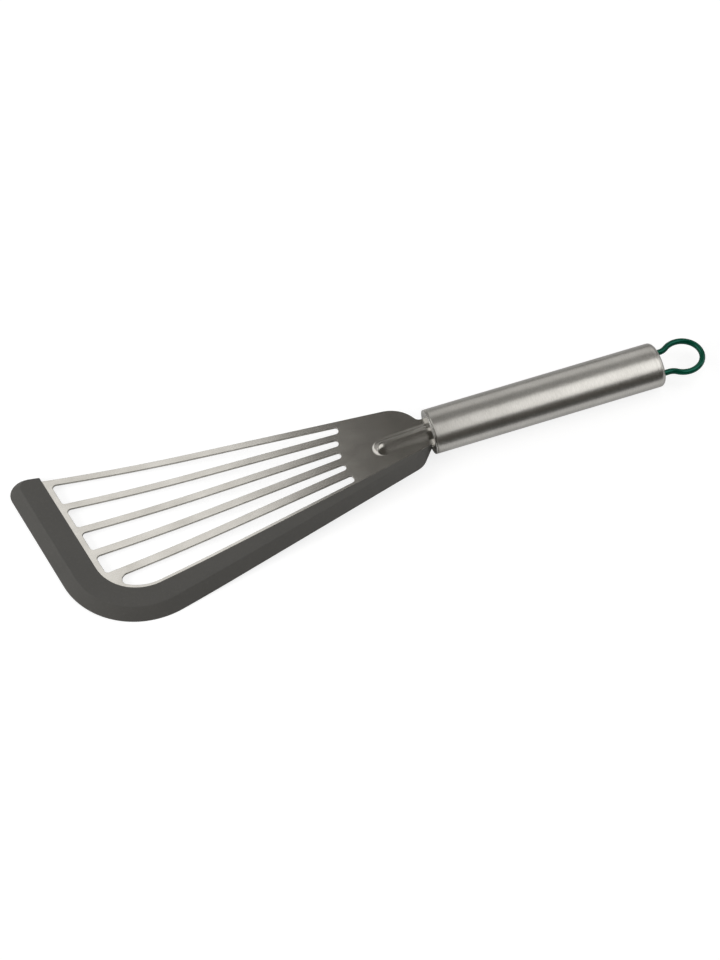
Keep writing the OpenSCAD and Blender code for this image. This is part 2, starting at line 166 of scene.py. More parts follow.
def sheet_outline():
    back = np.array([-SHOULDER_REACH, 0.0])
    front_p = BIG + bevel_r * heading(front_side)
    side_p, side_d = BIG + bevel_r * heading(bevel_side), heading(bevel_side + 90)
    hidden_p = rear_p + BEVEL_W / 2 * heading(REAR_TURN + 90)
    points = [
        np.array([TANG_LEN, -TANG_HALF]),
        np.array([TANG_LEN, TANG_HALF]),
        np.array([-NECK_GAP, TANG_HALF]),
        meet(back, heading(90), left_p, left_dir),
        meet(left_p, left_dir, front_p, front_dir),
        meet(front_p, front_dir, side_p, side_d),
        meet(hidden_p, rear_dir, side_p, side_d),
        meet(hidden_p, rear_dir, np.array([0.0, -TANG_HALF]), heading(0)),
    ]
    tang_radii, shoulder_radii = [SHEET_ROUND, SHEET_ROUND], [NECK_ROUND, SHOULDER_ROUND]
    hidden_radii = [LEFT_ROUND - LEFT_OVER, bevel_r, HIDDEN_ROUND, SHEET_ROUND / 2]
    return rounded(points, tang_radii + shoulder_radii + hidden_radii, SHEET_STEPS)


def slot_reach(i):
    return SLOT_REAR - SLOT_BOW * (FARTHEST_SLOT - i) ** 2


def slot_between(i):
    front_p = BIG + (inner_r - RIM_FRONT) * heading(front_side)
    mid = (bar_turn(i) + bar_turn(i + 1)) / 2
    rear, across = FAN + slot_reach(i) * heading(mid), heading(mid + 90)
    a, u, b, v = bar_side(i, 1), heading(bar_turn(i)), bar_side(i + 1, -1), heading(bar_turn(i + 1))
    front_corners = [meet(a, u, front_p, front_dir), meet(b, v, front_p, front_dir)]
    points = front_corners + [meet(b, v, rear, across), meet(a, u, rear, across)]
    return rounded(points, [SLOT_FRONT_R, SLOT_FRONT_R, SLOT_REAR_R, SLOT_REAR_R])


def slot_beside_edge():
    """Slot whose front follows the big corner and whose right side follows the moulded edge."""
    side_r, along = inner_r - RIM_SIDE, heading(bar_turn(4))
    inset = bar_side(4, 1) + LAST_FRONT_R * heading(bar_turn(4) + 90) - BIG
    inset_r = side_r - LAST_FRONT_R
    ahead = float(inset @ along)
    run = math.sqrt(ahead**2 - float(inset @ inset) + inset_r**2) - ahead
    centre = BIG + inset + run * along
    turn = 360 + math.degrees(math.atan2(*(centre - BIG)[::-1]))
    start = centre + LAST_FRONT_R * heading(bar_turn(4) - 90)
    end = BIG + side_r * heading(inner_side)
    mid = (bar_turn(4) + 180 + INNER_TURN) / 2
    rear = FAN + slot_reach(4) * heading(mid)
    upper = meet(start, along, rear, heading(mid + 90))
    lower = meet(end, heading(inner_side + 90), rear, heading(mid + 90))
    return (
        arc(centre, LAST_FRONT_R, bar_turn(4) - 90, turn, SMALL_STEPS)
        + arc(BIG, side_r, turn, inner_side, BIG_STEPS)[1:]
        + corner(end, lower, upper, SLOT_REAR_R)
        + corner(lower, upper, start, SLOT_REAR_R)
    )


# ---------------------------------------------------------------- heights, placing and meshes


def lift(x):
    """Height of the sheet's middle along its length: flat, then curved up to the front."""
    run = np.minimum(np.asarray(x) + BELLY_START, 0)
    return BELLY_R - np.sqrt(BELLY_R**2 - run**2)


def rib_away(x, y):
    """Distance from the rib's middle line, which ends in a round nose."""
    return np.hypot(np.minimum(x + RIB_REACH, 0), y + RIB_OFF)


rib_drop = RIB_R - RIB_H
rib_span = math.sqrt((RIB_R + RIB_FOOT) ** 2 - (rib_drop + RIB_FOOT) ** 2)


def rib_rise(away, inset):
    """Height of the rib's upper face over the sheet's upper face.

    With the sheet's thickness as the inset it gives the height of the lower face.
    """
    crown, foot = RIB_R - inset, RIB_FOOT + inset
    tangent = rib_span * crown / (RIB_R + RIB_FOOT)
    top = np.sqrt(np.maximum(crown**2 - away**2, 0)) - rib_drop
    blend = RIB_FOOT - np.sqrt(np.maximum(foot**2 - (rib_span - away) ** 2, 0))
    return np.where(away < tangent, top, np.where(away < rib_span, blend, -inset))


def upper_z(x, y):
    return lift(x) + SHEET_T / 2 + rib_rise(rib_away(x, y), 0.0)


def lower_z(x, y):
    return lift(x) + SHEET_T / 2 + rib_rise(rib_away(x, y), SHEET_T)


def face_directions(plan, height, way):
    """Directions of a face of the pitched sheet, read from its height a little to each side."""
    x, y = plan.T
    slope_x = (height(x + SLOPE_STEP, y) - height(x - SLOPE_STEP, y)) / (2 * SLOPE_STEP)
    slope_y = (height(x, y + SLOPE_STEP) - height(x, y - SLOPE_STEP)) / (2 * SLOPE_STEP)
    cos, sin = math.cos(math.radians(PITCH)), math.sin(math.radians(PITCH))
    out = np.column_stack([-slope_x * cos - sin, -slope_y, cos - slope_x * sin]) * way
    return out / np.linalg.norm(out, axis=1, keepdims=True)


def from_sheet(points):
    """Places points of the pitched sheet in the part's frame, in metres."""
    p = np.asarray(points, float)
    cos, sin = math.cos(math.radians(PITCH)), math.sin(math.radians(PITCH))
    x = p[:, 0] * cos - p[:, 2] * sin
    z = p[:, 0] * sin + p[:, 2] * cos
    return (np.column_stack([x, p[:, 1], z]) + SEAM) / 1000


def from_handle(points):
    return (np.asarray(points, float) + SEAM) / 1000


def piece(name, mesh, node, material, known=()):
    """Links a finished mesh as the piece that stands for a node, kept inside that node's box."""
    low, high = (np.array(c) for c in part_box(node))
    spots = np.empty(len(mesh.vertices) * 3, np.float32)
    mesh.vertices.foreach_get("co", spots)
    spots = np.clip(spots.reshape(-1, 3), low, high)
    mesh.vertices.foreach_set("co", spots.ravel())
    smooth_by_area(mesh, known)
    mesh.materials.clear()
    mesh.materials.append(material)
    obj = bpy.data.objects.new(name, mesh)
    bpy.context.scene.collection.objects.link(obj)
    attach(obj, "root")
    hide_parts(node)


def closed_mesh(name, points, faces, finish=None):
    """Mesh with its faces turned outward, after an optional step on the edges."""
    mesh = bpy.data.meshes.new(name)
    mesh.from_pydata([tuple(p) for p in points], [], faces)
    bm = bmesh.new()
    bm.from_mesh(mesh)
    if finish:
        finish(bm)
    bmesh.ops.recalc_face_normals(bm, faces=bm.faces)
    bm.to_mesh(mesh)
    bm.free()
    mesh.update()
    return mesh


def smooth_by_area(mesh, known=()):
    """Smooth shading: broad faces keep their own direction and the small edge roundings turn.

    The first points take the directions that are already known.
    """
    mesh.polygons.foreach_set("use_smooth", np.ones(len(mesh.polygons), bool))
    normals = np.zeros((len(mesh.vertices), 3))
    for face in mesh.polygons:
        normals[list(face.vertices)] += np.array(face.normal) * face.area
    if len(known):
        normals[: len(known)] = known
    length = np.linalg.norm(normals, axis=1, keepdims=True)
    mesh.normals_split_custom_set_from_vertices((normals / np.maximum(length, 1e-12)).tolist())


# ---------------------------------------------------------------- the steel sheet


def material_on_left(points, outer):
    p = np.array(points)
    q = np.roll(p, -1, 0)
    area = (p[:, 0] * q[:, 1] - q[:, 0] * p[:, 1]).sum()
    return p if (area > 0) == outer else p[::-1]


def with_short_steps(points, step):
    """Closed line with no stretch longer than a step."""
    line = []
    for k, p in enumerate(points):
        q = points[(k + 1) % len(points)]
        n = max(1, math.ceil(np.linalg.norm(q - p) / step))
        line += [p + (q - p) * j / n for j in range(n)]
    return np.array(line)


def moved_left(line, by):
    ahead = np.roll(line, -1, 0) - line
    ahead /= np.linalg.norm(ahead, axis=1, keepdims=True)
    behind = np.roll(ahead, 1, 0)
    n1 = np.column_stack([-behind[:, 1], behind[:, 0]])
    n2 = np.column_stack([-ahead[:, 1], ahead[:, 0]])
    return line + by * (n1 + n2) / (1 + (n1 * n2).sum(1, keepdims=True))


def inside(points, line):
    """Which points lie inside a closed line."""
    a, b = line, np.roll(line, -1, 0)
    px, py = points[:, 0][:, None], points[:, 1][:, None]
    crosses = (a[:, 1] > py) != (b[:, 1] > py)
    with np.errstate(divide="ignore", invalid="ignore"):
        at = a[:, 0] + (py - a[:, 1]) * (b[:, 0] - a[:, 0]) / (b[:, 1] - a[:, 1])
    return (crosses & (px < at)).sum(1) % 2 == 1


def distance_to(points, line):
    a, b = line, np.roll(line, -1, 0)
    ab = b - a
    best = np.full(len(points), 1e9)
    for k in range(len(a)):
        t = np.clip((points - a[k]) @ ab[k] / max(ab[k] @ ab[k], 1e-12), 0, 1)
        best = np.minimum(best, np.linalg.norm(points - a[k] - t[:, None] * ab[k], axis=1))
    return best


def sheet_fill_points(loops):
    """Points inside the sheet: an even field, and lines that follow the rib's foot and crown."""
    xs, ys = np.arange(FILL_FRONT, TANG_LEN, FILL_X), np.arange(-FILL_SIDE, FILL_SIDE, FILL_Y)
    field = np.array([[x + (k % 2) * FILL_X / 2, y] for k, y in enumerate(ys) for x in xs])
    field = field[rib_away(field[:, 0], field[:, 1]) > rib_span + 1.0]
    rib = []
    nose, along = np.array([-RIB_REACH, -RIB_OFF]), np.arange(-RIB_REACH, TANG_LEN - 0.5, RIB_LINE_STEP)
    tangent = rib_span * RIB_R / (RIB_R + RIB_FOOT)
    crown, foot = np.linspace(0, tangent * 0.97, 10), np.linspace(tangent, rib_span, 8)
    for d in [*crown, *foot, rib_span + 0.3, rib_span + 0.7]:
        sides = (1, -1) if d else (1,)
        rib += [[x, s * d - RIB_OFF] for x in along for s in sides]
        count = max(4, int(d * 6))
        rib += [list(nose + d * heading(t)) for t in np.linspace(90, 270, count + 2)[1:-1]]
    points = np.vstack([field, np.array(rib)])
    keep = inside(points, loops[0])
    for line in loops[1:]:
        keep &= ~inside(points, line)
    for line in loops:
        keep &= distance_to(points, line) > RIM_CLEARANCE
    return points[keep]


def reached_triangles(triangles, border, first):
    """Triangles reached from the one that holds a given point without crossing the border."""
    sides = [[frozenset((t[k], t[(k + 1) % 3])) for k in range(3)] for t in triangles]
    beside = {}
    for k, three in enumerate(sides):
        for side in three:
            beside.setdefault(side, []).append(k)
    border = {frozenset(pair) for pair in border}
    todo = [next(k for k, t in enumerate(triangles) if first in t)]
    reached = set()
    while todo:
        k = todo.pop()
        if k not in reached:
            reached.add(k)
            todo += [m for side in sides[k] if side not in border for m in beside[side]]
    return [triangles[k] for k in sorted(reached)]


def sheet_mesh():
    """The sheet's mesh, and the directions of the points on its two broad faces."""
    holes = [slot_between(i) for i in range(4)] + [slot_beside_edge()]
    for k in (1, 2):
        holes.append(arc(np.array([k * TANG_HOLE_STEP, -RIB_OFF]), TANG_HOLE_R, 0, 350, 35))
    lines = [material_on_left(sheet_outline(), True)] + [material_on_left(h, False) for h in holes]
    lines = [with_short_steps(line, RIM_STEP) for line in lines]
    rim = [moved_left(line, SHEET_EDGE) for line in lines]
    fill = sheet_fill_points(rim)
    plan, edges, start = [], [], 0
    for line in rim:
        edges += [(start + k, start + (k + 1) % len(line)) for k in range(len(line))]
        start += len(line)
        plan.append(line)
    plan = np.vstack(plan + [fill])
    found = delaunay_2d_cdt([Vector(p) for p in plan], edges, [], 0, 1e-6)
    triangles, back = found[2], [sources[0] for sources in found[3]]
    tris = reached_triangles([[back[v] for v in t] for t in triangles], edges, start)

    count, edge_count = len(plan), start
    points = [np.column_stack([plan, upper_z(*plan.T)]), np.column_stack([plan, lower_z(*plan.T)])]
    faces = [tuple(t) for t in tris] + [tuple(count + v for v in t[::-1]) for t in tris]
    # The edge is rounded: each ring lies a little farther out and farther from the face.
    turns = [math.radians(t) for t in (30, 60, 90)]
    rings = [(SHEET_EDGE * (1 - math.sin(t)), SHEET_EDGE * (1 - math.cos(t))) for t in turns]
    levels = [(o, d, upper_z, -1) for o, d in rings] + [(o, d, lower_z, 1) for o, d in rings[::-1]]
    start = 2 * count
    ring_starts = [0]
    for out, drop, height, way in levels:
        ring = np.vstack([moved_left(line, out) for line in lines])
        points.append(np.column_stack([ring, height(*ring.T) + way * drop]))
        ring_starts.append(start)
        start += edge_count
    ring_starts.append(count)
    for a, b in zip(ring_starts, ring_starts[1:]):
        for line in lines:
            n = len(line)
            faces += [(a + k, b + k, b + (k + 1) % n, a + (k + 1) % n) for k in range(n)]
            a, b = a + n, b + n
    known = np.vstack([face_directions(plan, upper_z, 1), face_directions(plan, lower_z, -1)])
    return closed_mesh("turner_blade", from_sheet(np.vstack(points)), faces), known


# ---------------------------------------------------------------- the moulded edge


def side_stations(r, side, start, rear):
    """Points from a start along the front, round the big corner and along the right side."""
    return (
        spread(start, BIG + r * heading(front_side), LINE_STEPS)[:-1]
        + arc(BIG, r, front_side, side, BIG_STEPS)[:-1]
        + spread(BIG + r * heading(side), rear, LINE_STEPS)[:-1]
    )


def edge_lines():
    """Foot, bevel and inner line of the moulded edge, from its left end round to the rear."""
    right_along = heading(front_side + 90)
    back = BIG + inner_r * heading(front_side)
    heel = meet(back, front_dir, left_end_p, left_dir)
    outer_front = BIG + CORNER_R * heading(front_side)
    bevel_front = BIG + bevel_r * heading(front_side)
    tip = meet(outer_front, front_dir, left_end_p, left_dir)
    left_bevel = left_end_p + BEVEL_END_W * heading(bar_turn(0) + 90)
    bevel_heel = meet(back, front_dir, left_bevel, left_dir)
    bevel_tip = meet(bevel_front, front_dir, left_bevel, left_dir)
    heel_outer = corner(back, heel, tip, HEEL_ROUND)
    tip_outer = corner(heel, tip, outer_front, LEFT_ROUND)
    heel_bevel = spread(bevel_heel, bevel_heel + HEEL_ROUND * left_dir, SMALL_STEPS)
    tip_bevel = corner(bevel_heel, bevel_tip, bevel_front, LEFT_ROUND / 2)
    fan_end = meet(back, front_dir, tip_outer[-1], heading(front_side)) + LEFT_ROUND / 2 * right_along
    fan_start = bevel_heel + HEEL_ROUND / 2 * right_along
    rear_outer = corner(outer_p, rear_p, rear_p + rear_dir, REAR_ROUND)
    bevel_p, bevel_d = BIG + bevel_r * heading(bevel_side), heading(bevel_side + 90)
    rear_bevel = meet(bevel_p, bevel_d, rear_outer[0], heading(90))
    inner_p, inner_d = BIG + inner_r * heading(inner_side), heading(inner_side + 90)
    rear_inner = meet(inner_p, inner_d, rear_outer[0], heading(90))
    end = np.array([-REAR_GAP, 0.0])
    end_outer = meet(rear_p, rear_dir, end, heading(90))
    end_inner = meet(rear_inner, inner_d, end, heading(90))
    outer = (
        heel_outer
        + tip_outer[:-1]
        + side_stations(CORNER_R, outer_side, tip_outer[-1], rear_outer[0])
        + rear_outer
        + [end_outer]
    )
    bevel = (
        heel_bevel
        + tip_bevel[:-1]
        + side_stations(bevel_r, bevel_side, tip_bevel[-1], rear_bevel)
        + spread(rear_bevel, (end_inner + end_outer) / 2, SMALL_STEPS + 1)
    )
    inner = (
        spread(fan_start, fan_end, 2 * SMALL_STEPS + 1)[:-1]
        + side_stations(inner_r, inner_side, fan_end, rear_inner)
        + spread(rear_inner, end_inner, SMALL_STEPS + 1)
    )
    return [np.array(line) for line in (inner, bevel, outer)]


def moulded_edge_mesh():
    inner, bevel, outer = edge_lines()
    section = [(inner, -COVER_Z), (inner, COVER_Z), (bevel, COVER_Z), (outer, LIP_Z), (outer, -COVER_Z)]
    n, m = len(inner), len(section)
    points = np.zeros((n, m, 3))
    for j, (line, z) in enumerate(section):
        points[:, j, :2] = line
        points[:, j, 2] = z + lift(line[:, 0])
    spans = [(m * k + j, m * k + (j + 1) % m) for k in range(n - 1) for j in range(m)]
    faces = [(a, a + m, b + m, b) for a, b in spans]
    faces += [tuple(range(m)), tuple(m * n - m + j for j in range(m))]

    def soften(bm):
        bm.verts.ensure_lookup_table()
        marked = {frozenset((a, a + m)) for a, b in spans}
        marked |= {frozenset(p) for p in ((1, 2), (2, 3), (4, 0))}
        marked |= {frozenset((m * n - m + j, m * n - m + (j + 1) % m)) for j in range(m)}
        edges = [e for e in bm.edges if frozenset(v.index for v in e.verts) in marked]
        bmesh.ops.bevel(
            bm,
            geom=edges,
            offset=EDGE_ROUND / 1000,
            offset_type="OFFSET",
            segments=3,
            profile=0.5,
            affect="EDGES",
            clamp_overlap=False,
        )

    return closed_mesh("moulded_silicone_edge", from_sheet(points.reshape(-1, 3)), faces, soften)


# ---------------------------------------------------------------- the handle


def oval_mesh(name, profile, closed):
    """Oval solid turned from a half profile of (distance along the handle, half height) points."""
    turns = np.linspace(0, 2 * math.pi, HANDLE_SIDES, endpoint=False)
    points, rows, faces = [], [], []
    for x, h in profile:
        if h < 1e-6:
            rows.append([len(points)] * HANDLE_SIDES)
            points.append((x, 0.0, 0.0))
        else:
            rows.append(list(range(len(points), len(points) + HANDLE_SIDES)))
            points += [(x, HALF_W * h / HALF_H * math.cos(t), h * math.sin(t)) for t in turns]
    pairs = list(zip(rows, rows[1:])) + ([(rows[-1], rows[0])] if closed else [])
    for a, b in pairs:
        for k in range(HANDLE_SIDES):
            m = (k + 1) % HANDLE_SIDES
            face = []
            for v in (a[k], b[k], b[m], a[m]):
                if v not in face:
                    face.append(v)
            if len(face) > 2:
                faces.append(tuple(face))
    return closed_mesh(name, from_handle(points), faces)


def profile_line(corners):
    """Half profile through (x, half height, rounding) corners."""
    points = [np.array(c[:2], float) for c in corners]
    line = []
    for k, (_, _, r) in enumerate(corners):
        after = points[(k + 1) % len(points)]
        line += corner(points[k - 1], points[k], after, r, PROFILE_STEPS) if r else [points[k]]
    return line


def front_cap_mesh():
    bore = HALF_H - TUBE_WALL - COLLAR_GAP
    inner = bore - COLLAR_WALL
    return oval_mesh(
        "front_cap_shell",
        profile_line(
            [
                (0, 0, 0),
                (0, HALF_H / 2, 0),
                (0, HALF_H, FRONT_CAP_ROUND),
                (FRONT_CAP_LEN - SEAM_GAP, HALF_H, CAP_EDGE_ROUND),
                (FRONT_CAP_LEN - SEAM_GAP, bore, 0),
                (FRONT_CAP_LEN + COLLAR_DEPTH, bore, COLLAR_ROUND),
                (FRONT_CAP_LEN + COLLAR_DEPTH, inner, COLLAR_ROUND),
                (FRONT_CAP_LEN, inner, 0),
                (FRONT_CAP_LEN, 0, 0),
            ]
        ),
        False,
    )


def tube_mesh():
    start, seam, bore = FRONT_CAP_LEN + SEAM_GAP, HANDLE_LEN - REAR_CAP_LEN, HALF_H - TUBE_WALL
    rings = np.linspace(TUBE_RING_INSET, seam - TUBE_RING_INSET, TUBE_RINGS)
    end = seam - REAR_SEAM_GAP
    corners = [(start, bore, 0), (start, HALF_H, TUBE_EDGE_ROUND)]
    corners += [(x, HALF_H, 0) for x in rings] + [(end, HALF_H, SEAM_ROUND), (end, bore, 0)]
    return oval_mesh("brushed_handle_tube", profile_line(corners), True)


def rear_cap_mesh():
    seam = HANDLE_LEN - REAR_CAP_LEN
    bore = HALF_H - TUBE_WALL - COLLAR_GAP
    inner = bore - COLLAR_WALL
    return oval_mesh(
        "rear_cap_shell",
        profile_line(
            [
                (HANDLE_LEN, 0, 0),
                (HANDLE_LEN, HALF_H / 2, 0),
                (HANDLE_LEN, HALF_H, REAR_CAP_ROUND),
                (seam + REAR_SEAM_GAP, HALF_H, SEAM_ROUND),
                (seam + REAR_SEAM_GAP, bore, 0),
                (seam - COLLAR_DEPTH, bore, COLLAR_ROUND),
                (seam - COLLAR_DEPTH, inner, COLLAR_ROUND),
                (HANDLE_LEN - COLLAR_WALL, inner, 0),
                (HANDLE_LEN - COLLAR_WALL, 0, 0),
            ]
        ),
        False,
    )


# ---------------------------------------------------------------- the hanging loop


def loop_path():
    """Middle line of the loop: a leg, a bend, the ring, a bend and a leg."""
    middle = HANDLE_LEN + LOOP_REACH
    both = LOOP_R + LEG_BEND_R
    bend_x, bend_y = middle - WAIST * both, math.sqrt(1 - WAIST**2) * both
    turn = math.degrees(math.acos(-WAIST))
    leg_y = bend_y - LEG_BEND_R
    upper = spread(np.array([HANDLE_LEN - COAT_DEPTH, leg_y]), np.array([bend_x, leg_y]), LEG_STEPS)[:-1]
    upper += arc(np.array([bend_x, bend_y]), LEG_BEND_R, -90, turn - 180, LEG_STEPS)[:-1]
    ring = arc(np.array([middle, 0.0]), LOOP_R, turn, -turn, RING_STEPS)
    lower = [p * np.array([1, -1]) for p in upper[::-1]]
    return from_handle([(p[0], p[1], 0.0) for p in upper + ring + lower])


def coating_tree(material):
    """Geometry nodes that sweep a round coating along a line."""
    tree = bpy.data.node_groups.new("Coating along the loop", "GeometryNodeTree")
    face = tree.interface
    face.new_socket("Line", in_out="INPUT", socket_type="NodeSocketGeometry")
    radius = face.new_socket("Coating radius", in_out="INPUT", socket_type="NodeSocketFloat")
    sides = face.new_socket("Sides", in_out="INPUT", socket_type="NodeSocketInt")
    colour = face.new_socket("Coating", in_out="INPUT", socket_type="NodeSocketMaterial")
    face.new_socket("Loop", in_out="OUTPUT", socket_type="NodeSocketGeometry")
    new, link = tree.nodes.new, tree.links.new
    given, made = new("NodeGroupInput"), new("NodeGroupOutput")
    circle, sweep = new("GeometryNodeCurvePrimitiveCircle"), new("GeometryNodeCurveToMesh")
    smooth, real = new("GeometryNodeSetShadeSmooth"), new("GeometryNodeRealizeInstances")
    paint = new("GeometryNodeSetMaterial")
    link(given.outputs["Sides"], circle.inputs["Resolution"])
    link(given.outputs["Coating radius"], circle.inputs["Radius"])
    link(given.outputs["Line"], sweep.inputs["Curve"])
    link(circle.outputs["Curve"], sweep.inputs["Profile Curve"])
    sweep.inputs["Fill Caps"].default_value = True
    link(sweep.outputs["Mesh"], smooth.inputs["Geometry"])
    link(smooth.outputs["Geometry"], real.inputs["Geometry"])
    link(real.outputs["Geometry"], paint.inputs["Geometry"])
    link(given.outputs["Coating"], paint.inputs["Material"])
    link(paint.outputs["Geometry"], made.inputs["Loop"])
    for k, step in enumerate((given, circle, sweep, smooth, real, paint, made)):
        step.location = (k * 200, 0)
    values = {radius.identifier: COAT_R / 1000, sides.identifier: COAT_SIDES, colour.identifier: material}
    return tree, values


def coated_loop_mesh(material):
    line = bpy.data.curves.new("loop_line", "CURVE")
    line.dimensions = "3D"
    spline = line.splines.new("POLY")
    path = loop_path()
    spline.points.add(len(path) - 1)
    spline.points.foreach_set("co", np.column_stack([path, np.ones(len(path))]).ravel())
    obj = bpy.data.objects.new("loop_line", line)
    bpy.context.scene.collection.objects.link(obj)
    tree, values = coating_tree(material)
    modifier = obj.modifiers.new("coating", "NODES")
    modifier.node_group = tree
    for identifier, value in values.items():
        modifier[identifier] = value
    obj.update_tag()
    bpy.context.view_layer.update()
    graph = bpy.context.evaluated_depsgraph_get()
    mesh = bpy.data.meshes.new_from_object(obj.evaluated_get(graph))
    mesh.name = "coated_hanging_loop"
    bpy.data.objects.remove(obj)
    return mesh


# ---------------------------------------------------------------- finishes


def group(name, sockets_in, sockets_out):
    tree = bpy.data.node_groups.new(name, "ShaderNodeTree")
    for label, kind in sockets_in:
        tree.interface.new_socket(label, in_out="INPUT", socket_type=kind)
    for label, kind in sockets_out:
        tree.interface.new_socket(label, in_out="OUTPUT", socket_type=kind)
    return tree, tree.nodes.new("NodeGroupInput"), tree.nodes.new("NodeGroupOutput")


def node(tree, kind, **values):
    """Adds a node and sets its values.

    A name that is an input's label, with _ for each space, sets that input. Any other sets an attribute.
    """
    made = tree.nodes.new(kind)
    for key, value in values.items():
        label = key.replace("_", " ")
        if label in made.inputs:
            made.inputs[label].default_value = value
        else:
            setattr(made, key, value)
    return made


def brush_marks():
    """Fine streaks and broad clouding of a brushed metal face."""
    tree, given, made = group(
        "Brush marks",
        [("Place", "NodeSocketVector"), ("Stretch", "NodeSocketVector")],
        [("Streaks", "NodeSocketFloat"), ("Clouding", "NodeSocketFloat")],
    )
    link = tree.links.new
    fine = node(tree, "ShaderNodeMapping")
    link(given.outputs["Place"], fine.inputs["Vector"])
    link(given.outputs["Stretch"], fine.inputs["Scale"])
    streaks = node(tree, "ShaderNodeTexNoise", Scale=1.0, Detail=3.0, Roughness=0.65)
    link(fine.outputs["Vector"], streaks.inputs["Vector"])
    broad = node(tree, "ShaderNodeMapping", Scale=(90, 140, 140))
    link(given.outputs["Place"], broad.inputs["Vector"])
    clouds = node(tree, "ShaderNodeTexNoise", Scale=1.0, Detail=4.0, Roughness=0.55)
    link(broad.outputs["Vector"], clouds.inputs["Vector"])
    link(streaks.outputs["Fac"], made.inputs["Streaks"])
    link(clouds.outputs["Fac"], made.inputs["Clouding"])
    return tree


def settled_dust():
    """Mask of the specks that lie on faces that look up."""
    tree, given, made = group(
        "Settled dust",
        [("Place", "NodeSocketVector"), ("Fineness", "NodeSocketFloat")],
        [("Dust", "NodeSocketFloat")],
    )
    link = tree.links.new
    spots = node(tree, "ShaderNodeTexNoise", Detail=5.0, Roughness=0.7)
    link(given.outputs["Place"], spots.inputs["Vector"])
    link(given.outputs["Fineness"], spots.inputs["Scale"])
    level = node(tree, "ShaderNodeMapRange")
    for label, value in (("From Min", 0.52), ("From Max", 0.82), ("To Min", 0.0), ("To Max", 1.0)):
        level.inputs[label].default_value = value
    link(spots.outputs["Fac"], level.inputs["Value"])
    facing = node(tree, "ShaderNodeNewGeometry")
    split = node(tree, "ShaderNodeSeparateXYZ")
    link(facing.outputs["Normal"], split.inputs["Vector"])
    up = node(tree, "ShaderNodeMath", operation="MULTIPLY", use_clamp=True)
    link(level.outputs["Result"], up.inputs[0])
    link(split.outputs["Z"], up.inputs[1])
    link(up.outputs["Value"], made.inputs["Dust"])
    return tree


marks_tree, dust_tree = brush_marks(), settled_dust()


def blank_material(name):
    made = bpy.data.materials.new(name)
    made.use_nodes = True
    tree = made.node_tree
    tree.nodes.clear()
    out = tree.nodes.new("ShaderNodeOutputMaterial")
    shader = tree.nodes.new("ShaderNodeBsdfPrincipled")
    tree.links.new(shader.outputs["BSDF"], out.inputs["Surface"])
    place = tree.nodes.new("ShaderNodeTexCoord")
    return made, tree, shader, place.outputs["Object"]


DUST_COLOUR, DUST_FINENESS = (0.45, 0.44, 0.42, 1), 900.0

# Places of the colour sockets on a Mix node
COLOUR_A, COLOUR_B, COLOUR_RESULT = 6, 7, 2


def mixed(tree, mask, dark, light):
    mix = node(tree, "ShaderNodeMix", data_type="RGBA")
    tree.links.new(mask, mix.inputs["Factor"])
    mix.inputs[COLOUR_A].default_value = (*dark, 1)
    mix.inputs[COLOUR_B].default_value = (*light, 1)
    return mix.outputs[COLOUR_RESULT]


def ranged(tree, value, low, high, start=0.3, end=0.7):
    level = node(tree, "ShaderNodeMapRange")
    for label, v in (("From Min", start), ("From Max", end), ("To Min", low), ("To Max", high)):
        level.inputs[label].default_value = v
    tree.links.new(value, level.inputs["Value"])
    return level.outputs["Result"]


def steel(name, stretch, dark, light, rough, depth, streaky):
    """Brushed steel: streaks change its roughness and tiny relief, and streaks and clouding its tone."""
    made, tree, shader, place = blank_material(name)
    link = tree.links.new
    marks = node(tree, "ShaderNodeGroup", node_tree=marks_tree)
    marks.inputs["Stretch"].default_value = stretch
    link(place, marks.inputs["Place"])
    both = node(tree, "ShaderNodeMix", data_type="FLOAT", Factor=streaky)
    link(marks.outputs["Clouding"], both.inputs["A"])
    link(marks.outputs["Streaks"], both.inputs["B"])
    tone = ranged(tree, both.outputs["Result"], 0.0, 1.0)
    link(mixed(tree, tone, dark, light), shader.inputs["Base Color"])
    link(ranged(tree, marks.outputs["Streaks"], *rough), shader.inputs["Roughness"])
    relief = node(tree, "ShaderNodeBump", Strength=1.0, Distance=depth)
    link(marks.outputs["Streaks"], relief.inputs["Height"])
    link(relief.outputs["Normal"], shader.inputs["Normal"])
    shader.inputs["Metallic"].default_value = 1.0
    return made


